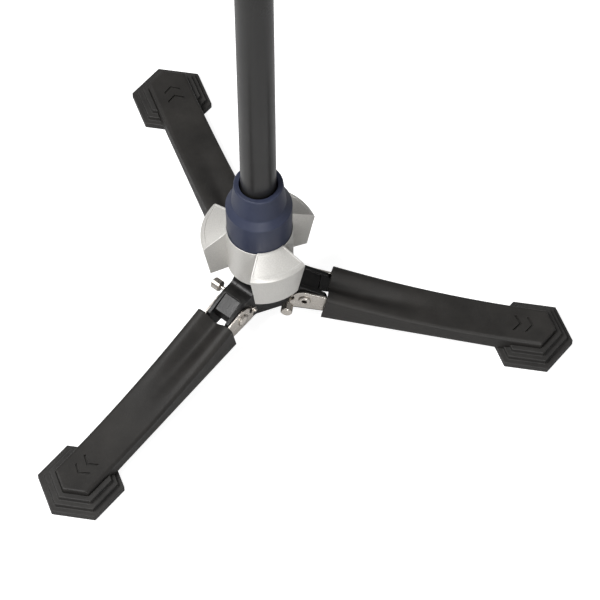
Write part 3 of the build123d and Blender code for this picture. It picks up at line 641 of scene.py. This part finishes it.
def leg_skin_tree():
    """Grows one skin of the leg from a grid: roof, two side walls and the wall at its pointed end.

    Inset makes the skin that much smaller all round, for the inside of the shell.
    """
    tree, given, out = new_group(
        "leg skin",
        "GeometryNodeTree",
        [
            ("Mouth at", FLOAT, MOUTH_X),
            ("Foot centre at", FLOAT, FOOT_X),
            ("Tip radius", FLOAT, LEG_TIP_R),
            ("Half width at mouth", FLOAT, LEG_HALF),
            ("Half width at foot", FLOAT, LEG_HALF_END),
            ("Mouth lean", FLOAT, math.tan(math.radians(MOUTH_LEAN))),
            ("Groove depth", FLOAT, GROOVE_DEPTH),
            ("Edge radius", FLOAT, 0.45),
            ("Inset", FLOAT, 0.0),
        ],
        [("Geometry", "NodeSocketGeometry")],
    )
    mouth, foot, wide_tip, wide_in, wide_out, lean, depth, edge_r, inset = [given[i] for i in range(9)]
    half_in = sums(tree, "SUBTRACT", wide_in, inset)
    half_out = sums(tree, "SUBTRACT", wide_out, inset)
    tip = sums(tree, "MULTIPLY_ADD", inset, -1 / math.cos(math.radians(30)), wide_tip)
    rows = LEG_ROWS + END_ROWS
    sheet = put(
        tree,
        "GeometryNodeMeshGrid",
        {
            "Size X": float(rows),
            "Size Y": 2.0 * HALF_COLUMNS,
            "Vertices X": rows + 1,
            "Vertices Y": 2 * HALF_COLUMNS + 1,
        },
    )
    position = put(tree, "GeometryNodeInputPosition").outputs[0]
    place = put(tree, "ShaderNodeSeparateXYZ", {0: position}).outputs
    row = sums(tree, "ADD", place[0], rows / 2)
    column = sums(tree, "ABSOLUTE", place[1])
    along = remap(tree, row, 0.0, float(LEG_ROWS))
    end_down = remap(tree, row, float(LEG_ROWS), float(rows))
    side_down = remap(tree, column, float(ROOF_COLUMNS), float(HALF_COLUMNS))
    way_down = sums(tree, "MAXIMUM", end_down, side_down)
    down = sums(tree, "POWER", way_down, 3.0)
    at_end = sums(tree, "GREATER_THAN", row, LEG_ROWS - 0.5)
    round_rows = 3
    part_turned = sums(tree, "MULTIPLY", way_down, END_ROWS / round_rows, clamp=True)
    turn = sums(tree, "MULTIPLY", part_turned, math.pi / 2)
    out_step = sums(tree, "MULTIPLY", sums(tree, "SUBTRACT", sums(tree, "SINE", turn), 1.0), edge_r)
    fallen = sums(tree, "SUBTRACT", sums(tree, "COSINE", turn), 1.0)
    down_step = sums(tree, "MULTIPLY", fallen, edge_r)
    left_over = sums(tree, "SUBTRACT", 1.0, remap(tree, column, 0.0, float(ROOF_COLUMNS)))
    across = sums(tree, "SUBTRACT", 1.0, sums(tree, "POWER", left_over, 1.5))
    point = sums(tree, "ADD", foot, tip)
    sideways_out = sums(tree, "MULTIPLY", across, half_out)
    taper = sums(tree, "MULTIPLY", sideways_out, -math.tan(math.radians(30)))
    reach = sums(tree, "SUBTRACT", sums(tree, "ADD", point, taper), mouth)
    nominal = sums(tree, "MULTIPLY_ADD", reach, along, mouth)
    nominal = sums(tree, "MULTIPLY_ADD", at_end, out_step, nominal)
    height = leg_height_group()
    first = tree.nodes.new("GeometryNodeGroup")
    first.node_tree = height
    for key, value in enumerate((nominal, across, down, depth, inset)):
        tree.links.new(value, first.inputs[key])
    leaning = sums(tree, "MULTIPLY", sums(tree, "SUBTRACT", first.outputs[0], MOUTH_Z), lean)
    shift = sums(tree, "MULTIPLY", leaning, sums(tree, "SUBTRACT", 1.0, along))
    far = sums(tree, "ADD", nominal, shift)
    second = tree.nodes.new("GeometryNodeGroup")
    second.node_tree = height
    for key, value in enumerate((far, across, down, depth, inset)):
        tree.links.new(value, second.inputs[key])
    half_here = remap(tree, far, 30.0, 110.0, half_in, half_out)
    from_middle = sums(tree, "MULTIPLY", across, half_here)
    sideways = sums(tree, "MULTIPLY", from_middle, sums(tree, "SIGN", place[1]))
    upright = sums(tree, "MULTIPLY", at_end, sums(tree, "LESS_THAN", way_down, 0.999))
    height_out = sums(tree, "MULTIPLY_ADD", upright, down_step, second.outputs[0])
    spot = put(tree, "ShaderNodeCombineXYZ", {0: far, 1: sideways, 2: height_out}).outputs[0]
    past = [
        put(tree, "FunctionNodeCompare", {0: value, 1: float(limit)}, operation="GREATER_THAN").outputs[0]
        for value, limit in ((row, LEG_ROWS), (column, ROOF_COLUMNS))
    ]
    spare = put(tree, "FunctionNodeBooleanMath", {0: past[0], 1: past[1]}, operation="AND")
    trimmed = put(
        tree,
        "GeometryNodeDeleteGeometry",
        {"Geometry": sheet.outputs[0], "Selection": spare.outputs[0]},
        domain="FACE",
    )
    shaped = put(tree, "GeometryNodeSetPosition", {"Geometry": trimmed.outputs[0], "Position": spot})
    joined = put(tree, "GeometryNodeMergeByDistance", {"Geometry": shaped.outputs[0], "Distance": 0.01})
    plain = put(tree, "GeometryNodeRealizeInstances", {"Geometry": joined.outputs[0]})
    dressed = put(
        tree,
        "GeometryNodeSetMaterial",
        {"Geometry": plain.outputs[0], "Material": FINISHES["leg_plastic"]},
    )
    tree.links.new(dressed.outputs[0], out[0])
    return tree


def grown(name, tree, values=None):
    """The plain mesh that a geometry-nodes tree makes, with some of its inputs set by name."""
    piece = new_piece(name, bpy.data.meshes.new(name))
    grow = piece.modifiers.new("grow", "NODES")
    grow.node_group = tree
    sockets = {s.name: s.identifier for s in tree.interface.items_tree if s.in_out == "INPUT"}
    for title, value in (values or {}).items():
        grow[sockets[title]] = value
    return bake_modifiers(piece)


def chevron_cutter(tip_x):
    """A prism in the shape of a shallow arrow stroke, to be pressed into the leg's end."""
    arm_x, arm_y, width = 2.7, 4.1, 1.3
    outline = [
        (tip_x, 0),
        (tip_x - arm_x, arm_y),
        (tip_x - arm_x - width, arm_y),
        (tip_x - width, 0),
        (tip_x - arm_x - width, -arm_y),
        (tip_x - arm_x, -arm_y),
    ]
    low = [(x, y, CHEVRON_FLOOR_Z) for x, y in outline]
    high = [(x, y, 16.0) for x, y in outline]
    count = len(outline)
    faces = [tuple(range(count)), tuple(range(count, 2 * count))]
    faces += [(i, (i + 1) % count, count + (i + 1) % count, count + i) for i in range(count)]
    return mesh_from(low + high, faces, "chevron cutter")


def screw_post(x, top_z):
    """A post under the leg's roof for one of the bracket's screws, with a bore and a flared root."""
    bore_r, post_r, root_r = 1.25, 2.7, 3.6
    foot_z = 10.7
    outline = rounded_profile(
        [
            (bore_r, foot_z, 0.0),
            (post_r, foot_z, 0.3),
            (post_r + 0.1, top_z - 1.2, 0.0),
            (root_r, top_z, 0.0),
            (bore_r, top_z, 0.0),
        ]
    )
    mesh = turned_mesh("screw post", outline, 32)
    mesh.transform(Matrix.Translation((x, 0, 0)) @ Matrix.Scale(1 / MM, 4))
    return mesh


def joined_mesh(name, meshes):
    work = bmesh.new()
    for mesh in meshes:
        work.from_mesh(mesh)
    made = bpy.data.meshes.new(name)
    work.to_mesh(made)
    work.free()
    return made


def shell_between(outer, inner, name):
    """Closes the gap between two open skins of the same build, with their rims marked for rounding."""
    count = len(outer.vertices)
    work = bmesh.new()
    work.from_mesh(outer)
    rim = [[v.index for v in e.verts] for e in work.edges if e.is_boundary]
    work.from_mesh(inner)
    work.verts.ensure_lookup_table()
    for a, b in rim:
        work.faces.new([work.verts[i] for i in (a, b, b + count, a + count)])
    bmesh.ops.recalc_face_normals(work, faces=work.faces)
    weight = work.edges.layers.float.new("bevel_weight_edge")
    for a, b in rim:
        for first, second in ((a, b), (a + count, b + count)):
            work.edges.get((work.verts[first], work.verts[second]))[weight] = 1.0
    made = bpy.data.meshes.new(name)
    work.to_mesh(made)
    work.free()
    return made


def leg_shell_mesh():
    """The leg's shell in its own frame, in mm: two skins, rounded rims, chevrons and posts."""
    tree = leg_skin_tree()
    outer = grown("leg skin", tree)
    inner = grown("leg inner skin", tree, {"Inset": LEG_WALL})
    shell = new_piece("leg shell", shell_between(outer.data, inner.data, "leg shell"))
    edges = shell.modifiers.new("rounded rims", "BEVEL")
    edges.width = 0.3
    edges.segments = 3
    edges.limit_method = "WEIGHT"
    edges.use_clamp_overlap = False
    bake_modifiers(shell)
    cutters = [new_piece("chevron cutter", chevron_cutter(tip)) for tip in CHEVRON_TIPS]
    for cutter in cutters:
        press = shell.modifiers.new("chevron", "BOOLEAN")
        press.operation = "DIFFERENCE"
        press.solver = "EXACT"
        press.object = cutter
    bake_modifiers(shell)
    posts = [screw_post(x, z) for x, z in zip(SCREW_XS, POST_TOPS)]
    mesh = joined_mesh("leg shell", [shell.data] + posts)
    smooth(mesh, 32)
    for spent in cutters + [outer, inner, shell]:
        bpy.data.objects.remove(spent)
    return mesh


def leg_shells():
    mesh = leg_shell_mesh()
    for side in SIDES:
        placed = mesh.copy()
        placed.transform(leg_matrix(side))
        settle(new_piece(f"grooved_leg_{side}", placed), f"leg_shell_{side}")


# ---- screws and springs ----
def pan_head_screw_mesh():
    """A short pan-head screw with a cross recess, its thread turned as a stack of ridges, in mm."""
    outline = [Vector((0.0, -5.5)), Vector((0.9, -5.5))]
    turns = 8
    for i in range(turns):
        low = -5.0 + i * 0.55
        outline += [Vector((0.98, low)), Vector((1.2, low + 0.27))]
    outline += [Vector((1.0, -0.2)), Vector((1.4, 0.0)), Vector((2.45, 0.0))]
    outline += rounded_profile([(2.7, 0.2, 0.15), (2.6, 0.95, 0.5), (1.2, 1.5, 0.4)])[:-1]
    outline.append(Vector((0.0, 1.5)))
    head = turned_mesh("pan head screw", outline, 40)
    head.transform(Matrix.Scale(1 / MM, 4))
    screw = new_piece("pan head screw", head)
    cutters = []
    for turn in (0.0, math.pi / 2):
        blade = bmesh.new()
        bmesh.ops.create_cube(blade, size=1.0)
        bmesh.ops.transform(blade, matrix=Matrix.Diagonal((2.9, 0.62, 1.6, 1.0)), verts=blade.verts)
        bmesh.ops.transform(blade, matrix=Matrix.Translation((0, 0, 1.55)), verts=blade.verts)
        bmesh.ops.rotate(blade, matrix=Matrix.Rotation(turn, 3, "Z"), verts=blade.verts)
        mesh = bpy.data.meshes.new("cross blade")
        blade.to_mesh(mesh)
        blade.free()
        cutters.append(new_piece("cross blade", mesh))
    for cutter in cutters:
        cut = screw.modifiers.new("recess", "BOOLEAN")
        cut.operation = "DIFFERENCE"
        cut.object = cutter
    bake_modifiers(screw)
    smooth(screw.data, 35)
    for cutter in cutters:
        bpy.data.objects.remove(cutter)
    return screw


def screw_row_tree(screw):
    """Sets copies of one screw in a row, each turned a little differently, heads downwards."""
    tree, given, out = new_group(
        "screw row",
        "GeometryNodeTree",
        [
            ("First at", FLOAT, SCREW_XS[0]),
            ("Spacing", FLOAT, SCREW_XS[1] - SCREW_XS[0]),
            ("Seat height", FLOAT, SCREW_SEAT_Z),
            ("Count", "NodeSocketInt", len(SCREW_XS)),
        ],
        [("Geometry", "NodeSocketGeometry")],
    )
    start = put(tree, "ShaderNodeCombineXYZ", {0: given[0], 2: given[2]}).outputs[0]
    step = put(tree, "ShaderNodeCombineXYZ", {0: given[1]}).outputs[0]
    spots = {"Count": given[3], "Start Location": start, "Offset": step}
    row = put(tree, "GeometryNodeMeshLine", spots)
    shape = put(tree, "GeometryNodeObjectInfo", {"Object": screw})
    turn = put(tree, "FunctionNodeRandomValue", {"Seed": 7}, data_type="FLOAT")
    turn.inputs[2].default_value = 0.0
    turn.inputs[3].default_value = math.tau
    spin = put(tree, "ShaderNodeCombineXYZ", {0: math.pi, 2: turn.outputs[1]}).outputs[0]
    rotation = put(tree, "FunctionNodeEulerToRotation", {0: spin}).outputs[0]
    copies = put(
        tree,
        "GeometryNodeInstanceOnPoints",
        {"Points": row.outputs[0], "Instance": shape.outputs["Geometry"], "Rotation": rotation},
    )
    plain = put(tree, "GeometryNodeRealizeInstances", {"Geometry": copies.outputs[0]})
    dressed = put(
        tree,
        "GeometryNodeSetMaterial",
        {"Geometry": plain.outputs[0], "Material": FINISHES["zinc_screw"]},
    )
    tree.links.new(dressed.outputs[0], out[0])
    return tree


def bracket_screw_rows():
    screw = pan_head_screw_mesh()
    row = grown("screw row", screw_row_tree(screw))
    for side in SIDES:
        placed = row.data.copy()
        placed.transform(leg_matrix(side))
        settle(new_piece(f"pan_screws_{side}", placed), f"bracket_screws_{side}")
    bpy.data.objects.remove(row)
    bpy.data.objects.remove(screw)


def coil_tree():
    """A compression spring along z: a spiral with a round wire swept along it."""
    tree, given, out = new_group(
        "coil spring",
        "GeometryNodeTree",
        [
            ("Turns", FLOAT, 5.0),
            ("Coil radius", FLOAT, 1.6),
            ("Wire radius", FLOAT, 0.19),
            ("Length", FLOAT, SPRING_LENGTH),
        ],
        [("Geometry", "NodeSocketGeometry")],
    )
    spiral = put(
        tree,
        "GeometryNodeCurveSpiral",
        {
            "Resolution": 28,
            "Rotations": given[0],
            "Start Radius": given[1],
            "End Radius": given[1],
            "Height": given[3],
        },
    )
    wire = put(tree, "GeometryNodeCurvePrimitiveCircle", {"Resolution": 10, "Radius": given[2]})
    swept = put(
        tree,
        "GeometryNodeCurveToMesh",
        {"Curve": spiral.outputs[0], "Profile Curve": wire.outputs[0], "Fill Caps": True},
    )
    plain = put(tree, "GeometryNodeRealizeInstances", {"Geometry": swept.outputs[0]})
    dressed = put(
        tree,
        "GeometryNodeSetMaterial",
        {"Geometry": plain.outputs[0], "Material": FINISHES["zinc_screw"]},
    )
    tree.links.new(dressed.outputs[0], out[0])
    return tree


def button_springs():
    """The coils behind the lock buttons."""
    tree = coil_tree()
    for side in SIDES:
        low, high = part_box(f"button_spring_{side}")
        middle = (low + high) / 2
        axis = Vector(JOINTS[f"button_press_{side}"]["axis"])
        length = SPRING_LENGTH * MM
        coil = grown(f"coil_{side}", tree)
        aim = Vector((0, 0, 1)).rotation_difference(axis).to_matrix().to_4x4()
        start = middle - axis * length / 2
        coil.data.transform(Matrix.Translation(start) @ aim @ Matrix.Scale(MM, 4))
        smooth(coil.data, 60)
        settle(coil, f"button_spring_{side}")
        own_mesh(coil)


# ---- tube, collar and peg ----
def tube_piece():
    low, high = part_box("stand_tube")
    bottom, top = low.z / MM, high.z / MM
    edge = 0.3
    corners = [(TUBE_R, bottom), (TUBE_R, top), (TUBE_INNER_R, top), (TUBE_INNER_R, bottom)]
    profile = [(r, z, edge) for r, z in corners]
    mesh = turned_mesh("upright_tube", rounded_profile(profile), 128)
    settle(new_piece("upright_tube", mesh), "stand_tube")


def collar_piece():
    """The navy collar: a straight skirt, a rounded shoulder and a slightly tapered neck."""
    low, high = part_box("tube_collar")
    bottom, top = low.z / MM, high.z / MM
    profile = [
        (TUBE_R + 0.05, bottom, 0.0),
        (COLLAR_CORE_R, bottom, 0.4),
        (COLLAR_CORE_R, COLLAR_SEAT_Z, 0.0),
        (14.75, COLLAR_SEAT_Z, 0.3),
        (COLLAR_R, 78.7, 0.25),
        (14.55, 79.35, 0.3),
        (12.3, 82.2, 1.6),
        (11.1, top - 0.5, 0.3),
        (10.7, top, 0.35),
        (8.8, top, 0.3),
        (8.6, top - 0.5, 0.2),
        (8.6, 84.0, 0.0),
        (TUBE_R + 0.05, 83.0, 0.0),
    ]
    mesh = turned_mesh("navy_collar", rounded_profile(profile), 144)
    settle(new_piece("navy_collar", mesh), "tube_collar")


def peg_radius(z):
    t = (z - PEG_FOOT_Z) / (PEG_TOP_Z - PEG_FOOT_Z)
    return PEG_FOOT_R - PEG_TAPER * t - PEG_SWELL * math.sin(math.pi * t)


def velour_sleeve():
    """The cloth sleeve of the peg: a tapered tube of thin pile cloth with one seam and turned hems."""
    rows, columns = 72, 160
    low_z, high_z = PEG_FOOT_Z + 0.25, PEG_TOP_Z - 0.25
    points = []
    faces = []
    for i in range(rows + 1):
        t = i / rows
        z = low_z + (high_z - low_z) * t
        from_hems = (z - low_z - 1.6, high_z - 1.6 - z)
        hem = 0.18 * sum(math.exp(-((away / 1.2) ** 2)) for away in from_hems)
        for k in range(columns):
            turn = math.tau * k / columns
            seam = -0.45 * math.exp(-((math.remainder(turn - 1.9, math.tau) / 0.035) ** 2))
            ease = 0.06 * math.sin(3 * turn + 5 * t) + 0.05 * math.sin(7 * turn - 9 * t)
            r = peg_radius(z) + SLEEVE_THICKNESS - 0.28 + hem + seam + ease
            points.append((r * MM * math.cos(turn), r * MM * math.sin(turn), z * MM))
    for i in range(rows):
        for k in range(columns):
            after = (k + 1) % columns
            here, above = i * columns, (i + 1) * columns
            faces.append((here + k, here + after, above + after, above + k))
    mesh = mesh_from(points, faces, "velour_sleeve")
    piece = new_piece("velour_sleeve", mesh)
    cloth = piece.modifiers.new("cloth", "SOLIDIFY")
    cloth.thickness = 0.6 * MM
    cloth.offset = -1.0
    bake_modifiers(piece)
    smooth(piece.data, 50)
    settle(piece, "peg_cover")


# ---- pieces that keep the parts' own shape ----
ROUNDED = {
    "base_spider": ("spider_casting", 0.30),
    "lobed_hub": ("lobed_hub_cover", 0.13),
    "peg_core": ("peg_body", 0.40),
    "peg_cap": ("peg_nose", 0.40),
    "base_screw": ("socket_screw", 0.20),
}
ROUNDED_ON_LEGS = {
    "leg_bracket": ("plated_bracket", 0.16),
    "pivot_rivet": ("tubular_rivet", 0.12),
    "lock_button": ("lock_pin", 0.14),
    "foot_pad": ("stepped_foot", 0.28),
}


def rounded_pieces():
    for node_name, (piece_name, width) in ROUNDED.items():
        rounded_copy(node_name, piece_name, width * MM)
    for node_name, (piece_name, width) in ROUNDED_ON_LEGS.items():
        for side in SIDES:
            rounded_copy(f"{node_name}_{side}", f"{piece_name}_{side}", width * MM)


def dress_parts():
    """The small parts that keep their own shape get their slot's finish."""
    for name, part in frame["nodes"].items():
        part.data.materials.clear()
        part.data.materials.append(finish_for(name))


# ---- floor, light and camera ----
def floor():
    made, tree, shader = new_material("pale studio floor", Roughness=0.9, Specular_IOR_Level=0.1)
    place = put(tree, "ShaderNodeTexCoord").outputs["Object"]
    mottle = put(tree, "ShaderNodeTexNoise", {"Vector": place, "Scale": 3.0, "Detail": 2.0}).outputs[0]
    colour = blend_colour(tree, mottle, (0.52, 0.52, 0.52, 1.0), (0.55, 0.55, 0.55, 1.0))
    tree.links.new(colour, shader.inputs["Base Color"])
    seen = put(tree, "ShaderNodeLightPath").outputs["Is Camera Ray"]
    shader.inputs["Emission Color"].default_value = (1.0, 1.0, 1.0, 1.0)
    tree.links.new(sums(tree, "MULTIPLY", seen, 0.85), shader.inputs["Emission Strength"])
    half = 6.0
    corners = [(-half, -half, 0), (half, -half, 0), (half, half, 0), (-half, half, 0)]
    mesh = mesh_from(corners, [(0, 1, 2, 3)], "floor")
    ground = new_piece("floor", mesh)
    ground.location.z = -0.0002
    mesh.materials.append(made)


def softbox(name, place, aim, size, power, tint=(1.0, 1.0, 1.0)):
    lamp = bpy.data.lights.new(name, "AREA")
    lamp.shape = "RECTANGLE"
    lamp.size, lamp.size_y = size
    lamp.energy = power
    lamp.color = tint
    made = bpy.data.objects.new(name, lamp)
    made.location = place
    made.rotation_euler = (Vector(aim) - Vector(place)).to_track_quat("-Z", "Y").to_euler()
    bpy.context.scene.collection.objects.link(made)


def studio_light():
    world = bpy.data.worlds.new("studio")
    world.use_nodes = True
    back = world.node_tree.nodes["Background"]
    back.inputs["Color"].default_value = (1.0, 1.0, 1.0, 1.0)
    back.inputs["Strength"].default_value = 0.24
    bpy.context.scene.world = world
    centre = (0.0, 0.0, 0.04)
    softbox("key softbox", (-0.74, -0.08, 1.29), centre, (0.65, 0.65), 22.0)
    softbox("front softbox", (-0.35, -1.40, 0.45), centre, (0.7, 0.35), 8.0)
    softbox("right strip", (1.1, -0.5, 0.7), centre, (0.25, 0.9), 0.6)


AIM = Vector((0.01746, -0.00521, 0.0))
CAMERA_DISTANCE = 1.29004
CAMERA_BEARING = -110.623
CAMERA_ELEVATION = 56.401
CAMERA_ROLL = -0.178
CAMERA_LENS = 164.73


def camera():
    bearing = math.radians(CAMERA_BEARING)
    elevation = math.radians(CAMERA_ELEVATION)
    outwards = Vector(
        (
            math.cos(bearing) * math.cos(elevation),
            math.sin(bearing) * math.cos(elevation),
            math.sin(elevation),
        )
    )
    lens = bpy.data.cameras.new("camera")
    lens.lens = CAMERA_LENS
    lens.sensor_width = 36.0
    made = bpy.data.objects.new("camera", lens)
    made.location = AIM + outwards * CAMERA_DISTANCE
    made.rotation_mode = "QUATERNION"
    level = (-outwards).to_track_quat("-Z", "Y")
    made.rotation_quaternion = level @ Quaternion((0, 0, 1), math.radians(CAMERA_ROLL))
    bpy.context.scene.collection.objects.link(made)
    bpy.context.scene.camera = made
    bpy.context.scene.view_settings.view_transform = "Standard"


camera()
dress_parts()
rounded_pieces()
tube_piece()
collar_piece()
velour_sleeve()
leg_shells()
bracket_screw_rows()
button_springs()
floor()
studio_light()
